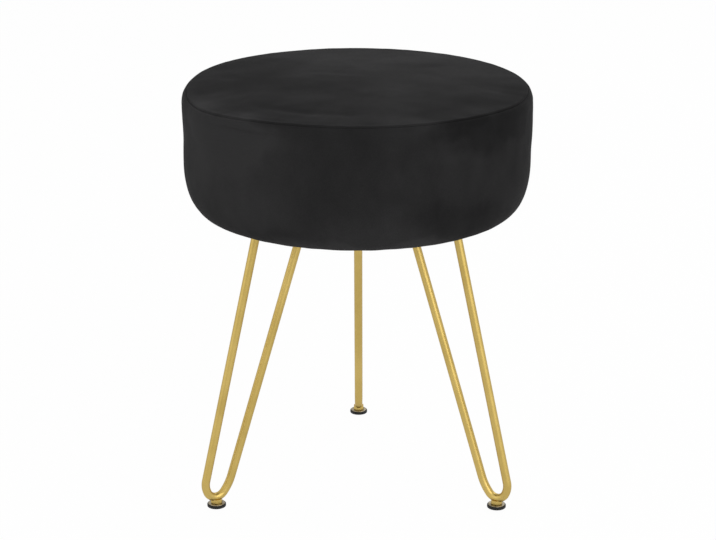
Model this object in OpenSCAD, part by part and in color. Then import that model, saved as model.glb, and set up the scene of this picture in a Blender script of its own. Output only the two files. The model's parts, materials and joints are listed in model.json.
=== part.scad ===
// Round upholstered footstool on three bent-rod hairpin legs, each with a levelling foot.
// Millimetres, +Z up. The origin lies on the axis of the seat, at floor level.
// Each leg lies in a plane through that axis. The rear leg stands at +Y.

/* [Seat] */
// Height from the floor to the crown of the seat
stool_h = 400; // [350:1:460]
// Diameter of the seat at its widest
seat_d = 327; // [310:1:380]
// Thickness of the seat, from its underside to its crown
seat_h = 121; // [95:1:150]
// Rise of the crown above the seam
crown_h = 6; // [2:0.5:10]
// How far the seam is drawn in from the widest part of the side
seam_in = 5; // [3:0.5:9]
// Depth below the seam at which the side reaches its full width
seam_drop = 12; // [6:0.5:20]
// Radius of the rolled edge of the top panel, beside the seam
seam_roll = 1.7; // [1.6:0.1:2.4]
// Width of cloth turned in under the top panel at the seam
seam_allowance = 8; // [5:0.5:12]
// How far the foot of the side is drawn in from its widest part
side_taper = 0.6; // [0:0.2:3]
// How far the edge of the underside lies in from the side
under_in = 19; // [12:0.5:26]
// Height over which the side rounds into the underside
under_rise = 46; // [25:1:60]
// Thickness of the velvet with its backing
velvet_t = 1.5; // [0.8:0.1:1.6]
// Width of velvet turned under the board
hem_w = 16; // [10:0.5:19]

/* [Base board] */
// Thickness of the plywood board under the foam
board_t = 12; // [12:0.5:18]
// Chamfer round both edges of the board
board_chamfer = 1.5; // [0.5:0.25:3]
// Thickness of the dust cover
dust_t = 0.5; // [0.3:0.1:1]
// Width of the dust cover that laps over the velvet hem
dust_lap = 10; // [5:0.5:10]

/* [Leg rods] */
// Diameter of the rod
rod_d = 8; // [7.5:0.5:10]
// Radius of the tight bend at the foot, to the middle of the rod
bend_r = 10; // [9.5:0.5:13]
// Angle that the tight bend turns through between the foot's axis and the outer run's ease
bend_turn_out = 69; // [60:1:75]
// Angle that the tight bend turns through between the foot's axis and the inner run's ease
bend_turn_in = 52; // [46:1:60]
// Radius at which the bend eases into the outer run
ease_out_r = 18; // [15:1:26]
// Radius at which the bend eases into the inner run
ease_in_r = 48; // [30:1:60]
// Length of the short straight link between the tight bend and each easing arc
link_l = 1.2; // [0.8:0.1:3]
// Diameter of the circle through the three feet
foot_circle_d = 309; // [280:1:330]
// Distance between the two ends of a rod at its plate
rod_spread = 50; // [40:1:54]

/* [Leg plates] */
// Distance from a plate's outer end in to the step of the dust cover
plate_inset = 3; // [2.5:0.5:12]
// Length of a plate, along the radius of the seat
plate_l = 84; // [78:1:90]
// Width of a plate
plate_w = 50; // [46:1:56]
// Thickness of a plate
plate_t = 3; // [2:0.5:5]
// Corner radius of a plate
plate_corner_r = 8; // [3:0.5:12]
// Distance of the screws from the ends of a plate
screw_inset_l = 12; // [9:0.5:13]
// Distance of the screws from the sides of a plate
screw_inset_w = 8; // [7.5:0.5:10]

/* [Screws] */
// Thread diameter of the plate screws
screw_d = 6; // [5:1:6]
// How far a screw's end stays below the top of the board
screw_recess = 1; // [0.5:0.5:4]
// Diameter of a screw head
head_d = 10.5; // [9:0.5:12]
// Height of a screw head
head_h = 3.3; // [2.8:0.1:4]
// Width across flats of the hexagon socket
socket_af = 4; // [3:0.5:5]
// Depth of the hexagon socket
socket_deep = 2; // [1.2:0.1:2.2]
// Outer diameter of a spring washer
washer_d = 11.8; // [10.5:0.1:12]
// Thickness of a spring washer
washer_t = 1.6; // [1:0.1:2]
// Width of the split in a spring washer
washer_split = 1; // [0.5:0.1:1.5]

/* [Tee nuts] */
// Diameter of a tee nut's flange
tee_flange_d = 19; // [17:0.5:22]
// Thickness of a tee nut's flange
tee_flange_t = 1.4; // [1:0.1:2]
// Outer diameter of a tee nut's barrel
tee_barrel_d = 8; // [7.5:0.1:9]
// Length of a tee nut's barrel below its flange
tee_barrel_l = 7.6; // [5:0.1:9]
// Width of a tee nut's prong at its root
prong_w = 4; // [3:0.5:5]
// Length of a tee nut's prong
prong_l = 5.5; // [4:0.5:7]
// Thickness of a tee nut's prong
prong_t = 1; // [0.8:0.1:1.4]

/* [Levelling feet] */
// Diameter of a foot's base
base_d = 18; // [16:0.5:22]
// Height of a foot's base
base_h = 2.6; // [2.3:0.1:4]
// Floor of the base under the stud's flange
base_floor = 0.9; // [0.6:0.1:1.1]
// Diameter of the metal disc on the base
disc_d = 16; // [14:0.5:18]
// Thickness of the metal disc
disc_t = 0.8; // [0.8:0.1:1.6]
// Thread diameter of the stud
stud_d = 6; // [5:1:6]
// Diameter of the flange that snaps into the base
flange_d = 8; // [7.5:0.5:10]
// Thickness of that flange
flange_t = 0.8; // [0.6:0.1:1]
// Width across flats of the nut welded under the bend
nut_af = 10; // [9.5:0.5:12]
// Height of the welded nut
nut_h = 4; // [3.8:0.1:5]
// How deep the rod beds into the welded nut
nut_bed = 2.7; // [2.2:0.1:2.8]
// How far the stud reaches into the rod when it is screwed home
stud_reach = 5.3; // [4.5:0.1:5.3]

/* [Staples] */
// Number of staples that hold the velvet and the dust cover to the board
staple_count = 24; // [12:1:36]
// Width of a staple's crown
staple_w = 10; // [6:0.5:12]
// Length of a staple's leg under its crown
staple_leg = 6; // [4:0.5:10]
// Thickness of the staple wire
staple_t = 0.7; // [0.5:0.1:1.2]

/* [Hidden] */

// Directions of the three legs, seen from above
rear_angle = 90;
left_angle = 210;
right_angle = 330;

// Fineness of round shapes, and steps in the curves of the seat
$fn = 96;
curve_steps = 12;
crown_steps = 10;

// Clearances: between cloth and foam, in a thread, round and beside a loose pin, over a foot
cloth_gap = 0.2;
thread_gap = 0.05;
pin_gap = 0.25;
play = 0.1;
foot_gap = 0.2;
// Clearance of the board in the foam, of a screw in its holes, and at a weld
board_gap = 0.5;
hole_gap = 0.3;
weld_gap = 0.03;
// Overrun of cutting tools past the faces that they cut
overrun = 1;
// Small edge breaks on the metal and plastic pieces of a foot and a screw
edge_break = 0.5;
base_edge_r = 0.6;
disc_edge_r = 0.7;
disc_dish = 0.25;
// Bending draws a rod a hair thinner, and its straight parts lap over the ends of its arcs
bend_thinning = 0.03;
bend_lap = 0.3;

// Levels, from the floor up
pocket_top_z = base_floor + flange_t + 2 * play;
flange_z = base_floor + play;
disc_z = base_h + play;
disc_top_z = disc_z + disc_t;
nut_under_z = disc_top_z + foot_gap;
rod_under_z = nut_under_z + nut_h - nut_bed;
bend_z = rod_under_z + rod_d / 2 + bend_r;
stud_top_z = rod_under_z + stud_reach;
under_z = stool_h - seat_h;
board_z = under_z + velvet_t;
board_top_z = board_z + board_t;
plate_top_z = board_z - dust_t;
plate_z = plate_top_z - plate_t;
head_z = plate_z - washer_t;
screw_l = board_top_z - screw_recess - head_z;
seam_z = stool_h - crown_h;
band_top_z = seam_z - seam_roll;
side_top_z = band_top_z - seam_drop;
side_foot_z = under_z + under_rise;

// Radii, from the axis of the seat out
seat_r = seat_d / 2;
seam_r = seat_r - seam_in;
side_foot_r = seat_r - side_taper;
under_r = side_foot_r - under_in;
board_r = under_r - board_gap;
hem_r = board_r - hem_w;
dust_step_r = hem_r - dust_t;
dust_flat_r = hem_r - velvet_t - 3 * dust_t;
staple_r = hem_r + dust_lap / 2;
plate_out = dust_flat_r - plate_inset - plate_l / 2;
screw_out = plate_l / 2 - screw_inset_l;
screw_side = plate_w / 2 - screw_inset_w;
foot_r = foot_circle_d / 2;
screw_r = screw_d / 2;
stud_r = stud_d / 2;

// Turns, in degrees, and the direction straight down in the plane of a leg
full_turn = 360;
down = 270;

// The ends of a rod, as [radius, height] from the bend's middle in the plane of the leg
bend_middle = [foot_r, bend_z];
outer_end = [plate_out + rod_spread / 2, plate_z] - bend_middle;
inner_end = [plate_out - rod_spread / 2, plate_z] - bend_middle;

// Directions in which the tight bend passes into its links, and the easing arcs' middles
outer_pass = down + bend_turn_out;
inner_pass = down - bend_turn_in;
outer_middle = (bend_r - ease_out_r) * [cos(outer_pass), sin(outer_pass)]
    + link_l * [-sin(outer_pass), cos(outer_pass)];
inner_middle = (bend_r - ease_in_r) * [cos(inner_pass), sin(inner_pass)]
    + link_l * [sin(inner_pass), -cos(inner_pass)];

// A rod's ends as seen from the middles of the easing arcs
outer_span = outer_end - outer_middle;
inner_span = inner_end - inner_middle;
// Length of the straight run from its end to where it touches an arc
function run_length(span, radius) = sqrt(pow(norm(span), 2) - pow(radius, 2));
// Angle at an arc's middle between a run's end and the point where the run touches
function touch_angle(span, radius) = acos(radius / norm(span));
// Directions in which the two straight runs touch their arcs
outer_touch = full_turn + atan2(outer_span.y, outer_span.x) - touch_angle(outer_span, ease_out_r);
inner_touch = atan2(inner_span.y, inner_span.x) + touch_angle(inner_span, ease_in_r);

// Points along an ellipse's arc: middle, half axes, first and last angle
function arc_points(middle, half, first, last, steps = curve_steps) = [
    for (i = [0 : steps])
        let (a = first + (last - first) * i / steps)
            [middle.x + half.x * cos(a), middle.y + half.y * sin(a)]
];

// Height of the crown over the seam at a radius
crown_r = seam_r - seam_roll;
function crown_z(r) = seam_z + crown_h * (1 - pow(r / crown_r, 2));
// Points of the crown from the axis out to a radius, lowered by an inset
function crown_points(out_r, inset) = [
    for (i = [0 : crown_steps])
        let (r = out_r * i / crown_steps) [r, crown_z(r) - inset]
];

// The side of the seat from the seam down to the underside, moved in by an inset
function side_points(inset) = concat(
    arc_points([seam_r, side_top_z], [seam_in - inset, seam_drop - inset], 90, 0),
    arc_points([under_r, side_foot_z], [under_in - inset, under_rise - inset], 0, -90)
);

// A list of points in reverse order
function backwards(points) = [for (i = [len(points) - 1 : -1 : 0]) points[i]];

// Puts its children on the leg that stands in a direction
module on_leg(angle) {
    rotate([0, 0, angle]) children();
}

// Puts its children at a foot's axis
module on_foot(angle) {
    on_leg(angle) translate([foot_r, 0, 0]) children();
}

// Puts its children at every plate screw's axis
module at_screws() {
    for (angle = [rear_angle, left_angle, right_angle], along = [-1, 1], across = [-1, 1])
        on_leg(angle)
            translate([plate_out + along * screw_out, across * screw_side, 0])
                children();
}

// Top panel of the velvet cover, crowned and rolled over at the seam
module velvet_top() {
    color([0.17, 0.17, 0.17])
        rotate_extrude()
            polygon(concat(
                crown_points(crown_r, 0),
                arc_points([crown_r, band_top_z], [seam_roll, seam_roll], 90, 0),
                [[crown_r - seam_allowance, band_top_z + seam_roll - velvet_t]],
                backwards(crown_points(crown_r - seam_allowance - seam_roll, velvet_t))
            ));
}

// Side band of the velvet cover, from the seam down and round under the board
module velvet_band() {
    color([0.15, 0.15, 0.15])
        rotate_extrude()
            polygon(concat(
                [[seam_r - seam_allowance, band_top_z - cloth_gap]],
                [[crown_r, band_top_z - cloth_gap]],
                side_points(0),
                [[hem_r, under_z]],
                [[hem_r, board_z]],
                backwards(side_points(velvet_t)),
                [[seam_r - seam_allowance, band_top_z - velvet_t]]
            ));
}

// Foam block that fills the cover and laps down round the board
module foam_cushion() {
    inset = velvet_t + cloth_gap;
    step_r = crown_r - seam_allowance - seam_roll - cloth_gap;
    color([0.9, 0.84, 0.62])
        rotate_extrude()
            polygon(concat(
                crown_points(step_r, inset),
                [[step_r, band_top_z - inset]],
                side_points(inset),
                [[board_r + cloth_gap, under_z + inset]],
                [[board_r + cloth_gap, board_top_z]],
                [[0, board_top_z]]
            ));
}

// Blade of one tee nut prong, pointing down from the flange's underside
module prong() {
    translate([tee_flange_d / 2 - prong_t, 0, 0])
        rotate([90, 0, 90])
            linear_extrude(prong_t)
                polygon([[-prong_w / 2, 0], [0, -prong_l], [prong_w / 2, 0]]);
}

// Tee nut with its flange's top at level zero
module tee_nut() {
    difference() {
        union() {
            translate([0, 0, -tee_flange_t]) cylinder(d = tee_flange_d, h = tee_flange_t);
            translate([0, 0, -tee_flange_t - tee_barrel_l])
                cylinder(d = tee_barrel_d, h = tee_flange_t + tee_barrel_l);
            for (turn = [0 : 90 : 270])
                rotate([0, 0, turn]) translate([0, 0, -tee_flange_t]) prong();
        }
        translate([0, 0, -tee_flange_t - tee_barrel_l - overrun])
            cylinder(r = screw_r + thread_gap, h = tee_flange_t + tee_barrel_l + 2 * overrun);
    }
}

// Room for a tee nut and its screw in the board, from the flange's top down
module tee_nut_room() {
    translate([0, 0, -tee_flange_t])
        cylinder(d = tee_flange_d + 2 * cloth_gap, h = tee_flange_t + overrun);
    translate([0, 0, -board_t - overrun])
        cylinder(d = tee_barrel_d + 2 * thread_gap, h = board_t + 2 * overrun);
    for (turn = [0 : 90 : 270])
        rotate([0, 0, turn])
            translate([tee_flange_d / 2 - prong_t - thread_gap, -prong_w / 2 - thread_gap,
                    -tee_flange_t - prong_l - thread_gap])
                cube([prong_t + 2 * thread_gap, prong_w + 2 * thread_gap, prong_l + overrun]);
}

// Plywood board that the foam sits on and the legs are screwed to
module base_board() {
    color([0.78, 0.62, 0.42])
        difference() {
            translate([0, 0, board_z])
                rotate_extrude()
                    polygon([
                        [0, 0],
                        [board_r - board_chamfer, 0],
                        [board_r, board_chamfer],
                        [board_r, board_t - board_chamfer],
                        [board_r - board_chamfer, board_t],
                        [0, board_t]
                    ]);
            at_screws() translate([0, 0, board_top_z]) tee_nut_room();
        }
}

// Dust cover under the board: flat in the middle, stepped down over the velvet hem
module dust_cover() {
    lap_r = hem_r + dust_lap;
    color([0.1, 0.1, 0.1])
        difference() {
            rotate_extrude()
                polygon([
                    [0, board_z],
                    [dust_flat_r + dust_t, board_z],
                    [dust_step_r, under_z],
                    [lap_r, under_z],
                    [lap_r, under_z - dust_t],
                    [dust_step_r - dust_t, under_z - dust_t],
                    [dust_flat_r, board_z - dust_t],
                    [0, board_z - dust_t]
                ]);
            at_screws()
                translate([0, 0, under_z - dust_t - overrun])
                    cylinder(r = screw_r + hole_gap, h = velvet_t + dust_t + 2 * overrun);
        }
}

// One staple, its crown under level zero and its legs pointing up
module staple() {
    translate([-staple_t / 2, -staple_w / 2, -staple_t])
        cube([staple_t, staple_w, staple_t]);
    for (side = [-1, 1])
        translate([-staple_t / 2, side * (staple_w - staple_t) / 2 - staple_t / 2, -staple_t])
            cube([staple_t, staple_t, staple_leg + staple_t]);
}

// Ring of staples through the dust cover and the velvet hem into the board
module cover_staples() {
    color([0.7, 0.7, 0.7])
        for (i = [0 : staple_count - 1])
            rotate([0, 0, full_turn * (i + 0.5) / staple_count])
                translate([staple_r, 0, under_z - dust_t])
                    staple();
}

// The twelve tee nuts, flanges flush with the top of the board
module tee_nuts() {
    color([0.75, 0.75, 0.72])
        at_screws() translate([0, 0, board_top_z]) tee_nut();
}

// Button-head screw with a hexagon socket, its bearing face at level zero
module screw() {
    socket_d = socket_af / cos(30);
    face_d = socket_d + 2 * edge_break;
    difference() {
        rotate_extrude()
            polygon(concat(
                [[0, screw_l], [screw_r - edge_break, screw_l], [screw_r, screw_l - edge_break]],
                [[screw_r, 0], [head_d / 2, 0], [head_d / 2, -edge_break]],
                arc_points([face_d / 2, -edge_break],
                    [(head_d - face_d) / 2, head_h - edge_break], 0, -90, curve_steps / 2),
                [[0, -head_h]]
            ));
        translate([0, 0, -head_h - overrun])
            cylinder(d = socket_d, h = socket_deep + overrun, $fn = 6);
    }
}

// The twelve screws that hold the leg plates to the board
module plate_screws() {
    color([0.2, 0.2, 0.2])
        at_screws() translate([0, 0, head_z]) screw();
}

// The twelve split spring washers under the screw heads
module spring_washers() {
    color([0.35, 0.35, 0.35])
        at_screws()
            translate([0, 0, head_z])
                difference() {
                    cylinder(d = washer_d, h = washer_t);
                    translate([0, 0, -overrun])
                        cylinder(r = screw_r + hole_gap, h = washer_t + 2 * overrun);
                    translate([0, -washer_split / 2, -overrun])
                        cube([washer_d, washer_split, washer_t + 2 * overrun]);
                }
}

// Arc of a rod between two directions, at a radius to the middle of the rod
module rod_arc(radius, first, last) {
    rotate([0, 0, first])
        rotate_extrude(angle = last - first)
            translate([radius, 0])
                circle(d = rod_d - bend_thinning);
}

// Straight part of a rod along +Y, from where it touches an arc, with a lap over the arc
module rod_run(radius, length) {
    translate([radius, -bend_lap, 0])
        rotate([-90, 0, 0])
            cylinder(d = rod_d, h = length + bend_lap);
}

// Bent rod in the plane of its leg: a tight bend that eases into two straight runs
module bent_rod(spare) {
    rod_arc(bend_r, inner_pass, outer_pass);
    rotate([0, 0, outer_pass]) rod_run(bend_r, link_l + bend_lap);
    rotate([0, 0, inner_pass]) mirror([0, 1, 0]) rod_run(bend_r, link_l + bend_lap);
    translate(outer_middle) {
        rod_arc(ease_out_r, outer_pass, outer_touch);
        rotate([0, 0, outer_touch])
            rod_run(ease_out_r, run_length(outer_span, ease_out_r) + spare);
    }
    translate(inner_middle) {
        rod_arc(ease_in_r, inner_touch, inner_pass);
        rotate([0, 0, inner_touch])
            mirror([0, 1, 0])
                rod_run(ease_in_r, run_length(inner_span, ease_in_r) + spare);
    }
}

// Drilling for the stud, upwards along the axis of a foot
module stud_hole(from_z, to_z) {
    translate([0, 0, from_z]) cylinder(r = stud_r + thread_gap, h = to_z - from_z);
}

// Hairpin rod: two straight runs and the bend between them, drilled for the stud
module leg_rod(angle) {
    spare = rod_d;
    color([0.78, 0.64, 0.33])
        on_leg(angle)
            difference() {
                translate([foot_r, 0, bend_z]) rotate([90, 0, 0]) bent_rod(spare);
                translate([plate_out - plate_l, -plate_w / 2, plate_z])
                    cube([2 * plate_l, plate_w, 2 * spare]);
                translate([foot_r, 0, 0]) stud_hole(0, stud_top_z + edge_break);
            }
}

// Mounting plate that the rod's two ends are welded to
module leg_plate(angle) {
    color([0.76, 0.62, 0.32])
        on_leg(angle)
            difference() {
                translate([plate_out, 0, plate_z])
                    linear_extrude(plate_t)
                        union() {
                            square([plate_l, plate_w - 2 * plate_corner_r], center = true);
                            square([plate_l - 2 * plate_corner_r, plate_w], center = true);
                            for (along = [-1, 1], across = [-1, 1])
                                translate([along * (plate_l / 2 - plate_corner_r),
                                        across * (plate_w / 2 - plate_corner_r)])
                                    circle(r = plate_corner_r);
                        }
                for (along = [-1, 1], across = [-1, 1])
                    translate([plate_out + along * screw_out, across * screw_side,
                            plate_z - overrun])
                        cylinder(r = screw_r + hole_gap, h = plate_t + 2 * overrun);
            }
}

// Hexagon nut under the bend, hollowed to bed against the rod
module weld_nut(angle) {
    color([0.74, 0.6, 0.3])
        on_leg(angle)
            difference() {
                translate([foot_r, 0, nut_under_z])
                    cylinder(d = nut_af / cos(30), h = nut_h, $fn = 6);
                translate([foot_r, 0, bend_z])
                    rotate([90, 0, 0])
                        rotate_extrude()
                            translate([bend_r, 0])
                                circle(d = rod_d + 2 * weld_gap);
                translate([foot_r, 0, 0])
                    stud_hole(nut_under_z - overrun, nut_under_z + nut_h + overrun);
            }
}

// Threaded stud whose flange turns in the base
module foot_stud(angle) {
    color([0.7, 0.7, 0.68])
        on_foot(angle)
            rotate_extrude()
                polygon([
                    [0, flange_z],
                    [flange_d / 2, flange_z],
                    [flange_d / 2, flange_z + flange_t],
                    [stud_r, flange_z + flange_t],
                    [stud_r, stud_top_z - edge_break],
                    [stud_r - edge_break, stud_top_z],
                    [0, stud_top_z]
                ]);
}

// Metal disc pressed on the stud, which is gripped to turn it
module foot_disc(angle) {
    color([0.62, 0.58, 0.48])
        on_foot(angle)
            rotate_extrude()
                polygon(concat(
                    [[stud_r, disc_z], [disc_d / 2, disc_z]],
                    arc_points([disc_d / 2 - disc_edge_r, disc_top_z - disc_edge_r],
                        [disc_edge_r, disc_edge_r], 0, 90, curve_steps / 2),
                    [[stud_r + disc_edge_r, disc_top_z - disc_dish]],
                    [[stud_r, disc_top_z - disc_dish]]
                ));
}

// Moulded base of a foot, with the pocket and lip that hold the stud's flange
module foot_base(angle) {
    pocket_r = flange_d / 2 + pin_gap;
    mouth_r = stud_r + pin_gap;
    color([0.08, 0.08, 0.08])
        on_foot(angle)
            rotate_extrude()
                polygon(concat(
                    [[0, 0], [base_d / 2 - edge_break, 0], [base_d / 2, edge_break]],
                    arc_points([base_d / 2 - base_edge_r, base_h - base_edge_r],
                        [base_edge_r, base_edge_r], 0, 90, curve_steps / 2),
                    [[mouth_r, base_h], [mouth_r, pocket_top_z]],
                    [[pocket_r, pocket_top_z], [pocket_r, base_floor], [0, base_floor]]
                ));
}

velvet_top();
velvet_band();
foam_cushion();
base_board();
dust_cover();
cover_staples();
tee_nuts();
plate_screws();
spring_washers();
leg_rod(rear_angle);  // rear_leg_rod
leg_rod(left_angle);  // left_leg_rod
leg_rod(right_angle);  // right_leg_rod
leg_plate(rear_angle);  // rear_leg_plate
leg_plate(left_angle);  // left_leg_plate
leg_plate(right_angle);  // right_leg_plate
weld_nut(rear_angle);  // rear_weld_nut
weld_nut(left_angle);  // left_weld_nut
weld_nut(right_angle);  // right_weld_nut
foot_stud(rear_angle);  // rear_foot_stud
foot_stud(left_angle);  // left_foot_stud
foot_stud(right_angle);  // right_foot_stud
foot_disc(rear_angle);  // rear_foot_disc
foot_disc(left_angle);  // left_foot_disc
foot_disc(right_angle);  // right_foot_disc
foot_base(rear_angle);  // rear_foot_base
foot_base(left_angle);  // left_foot_base
foot_base(right_angle);  // right_foot_base
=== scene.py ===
"""A round velvet footstool on three hairpin legs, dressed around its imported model.

Every length is in metres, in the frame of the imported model: +Z up, the origin on the
floor at the axis of the seat, and the rear leg at +Y.
"""

from __future__ import annotations

import json
import logging
import math
from dataclasses import dataclass, field
from enum import Enum

import bmesh
import bpy
from mathutils import Matrix, Vector, noise
from mathutils.kdtree import KDTree

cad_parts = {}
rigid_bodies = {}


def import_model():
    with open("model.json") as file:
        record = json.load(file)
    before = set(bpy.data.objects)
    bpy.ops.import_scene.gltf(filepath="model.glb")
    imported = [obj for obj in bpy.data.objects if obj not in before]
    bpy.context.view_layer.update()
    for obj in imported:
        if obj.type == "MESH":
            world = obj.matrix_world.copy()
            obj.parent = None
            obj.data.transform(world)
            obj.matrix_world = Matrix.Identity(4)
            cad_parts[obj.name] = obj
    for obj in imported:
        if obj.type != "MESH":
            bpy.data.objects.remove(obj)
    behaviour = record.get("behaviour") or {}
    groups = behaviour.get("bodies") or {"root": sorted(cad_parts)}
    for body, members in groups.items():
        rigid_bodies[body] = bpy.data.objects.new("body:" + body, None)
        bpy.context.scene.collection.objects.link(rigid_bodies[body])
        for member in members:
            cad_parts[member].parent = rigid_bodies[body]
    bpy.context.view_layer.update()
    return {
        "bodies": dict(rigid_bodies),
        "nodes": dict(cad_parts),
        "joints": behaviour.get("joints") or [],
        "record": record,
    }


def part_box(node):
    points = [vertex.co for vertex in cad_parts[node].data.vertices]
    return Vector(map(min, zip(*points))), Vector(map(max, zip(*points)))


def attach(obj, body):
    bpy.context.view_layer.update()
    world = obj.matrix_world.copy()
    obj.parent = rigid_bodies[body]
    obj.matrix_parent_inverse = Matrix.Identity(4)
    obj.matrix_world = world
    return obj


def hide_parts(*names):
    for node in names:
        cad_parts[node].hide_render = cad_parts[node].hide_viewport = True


log = logging.getLogger("footstool")

MM = 0.001
STOOL = "stool"
WHITE = (1.0, 1.0, 1.0, 1.0)
Pair = tuple[float, float]
Point = Pair
Triple = tuple[float, float, float]
Colour = Triple
Mesh = bmesh.types.BMesh
Output = tuple[bpy.types.Node, str | int]
FULL_TURN: dict[str, object] = {"cent": (0.0, 0.0, 0.0), "axis": (0.0, 0.0, 1.0),
                                "angle": math.tau, "use_merge": True, "use_duplicate": False}


class Side(Enum):
    """Where a leg stands, with its direction in degrees as seen from above."""

    REAR = 90.0
    LEFT = 210.0
    RIGHT = 330.0

    @property
    def outward(self) -> Vector:
        """Returns the unit vector from the seat's axis towards this leg."""
        turn = math.radians(self.value)
        return Vector((math.cos(turn), math.sin(turn), 0.0))

    @property
    def turn(self) -> Matrix:
        """Returns the rotation that takes +X to this leg's direction."""
        return Matrix.Rotation(math.radians(self.value), 4, "Z")


class Slot(Enum):
    """Material slots of the record that pieces take their finish from."""

    VELVET = "velvet"
    FOAM = "foam"
    PLYWOOD = "plywood"
    DUST_CLOTH = "dust_cloth"
    GOLD_COAT = "gold_coat"
    NICKEL = "nickel"
    ZINC = "zinc_steel"
    BLACK_STEEL = "black_steel"
    BLACK_PLASTIC = "black_plastic"


class Nodes:
    """A node tree under construction."""

    def __init__(self, owner: bpy.types.Material | bpy.types.World) -> None:
        """Takes over a node tree and empties it.

        Args:
            owner: The material or world that the tree belongs to.
        """
        owner.use_nodes = True
        self.tree = owner.node_tree
        self.tree.nodes.clear()

    def add(self, kind: str, operation: str = "", **inputs: object) -> bpy.types.Node:
        """Adds a node.

        Args:
            kind: Blender's name for the type of node, without ShaderNode.
            operation: What a maths node works out.
            inputs: Values by socket name, with spaces written as underscores.

        Returns:
            The new node.
        """
        node = self.tree.nodes.new(f"ShaderNode{kind}")
        if operation:
            node.operation = operation
        for name, value in inputs.items():
            node.inputs[name.replace("_", " ")].default_value = value
        return node

    def join(self, source: Output, target: bpy.types.Node, socket: str | int) -> None:
        """Links an output, given as its node and name or number, to a node's input."""
        self.tree.links.new(source[0].outputs[source[1]], target.inputs[socket])

    def maths(self, operation: str, one: Output, other: Output) -> Output:
        """Works out a value from two others.

        Args:
            operation: What is worked out.
            one: The first value.
            other: The second value.

        Returns:
            The result.
        """
        node = self.add("Math", operation)
        self.join(one, node, 0)
        self.join(other, node, 1)
        return node, 0

    def direct_rays(self) -> Output:
        """Finds the rays that show the background as it is: seen, mirrored or passed through.

        Returns:
            A value that is 1 for those rays and 0 for the rest.
        """
        path = self.add("LightPath")
        seen = self.maths("MAXIMUM", (path, "Is Camera Ray"), (path, "Is Glossy Ray"))
        return self.maths("MAXIMUM", seen, (path, "Is Transmission Ray"))


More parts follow.
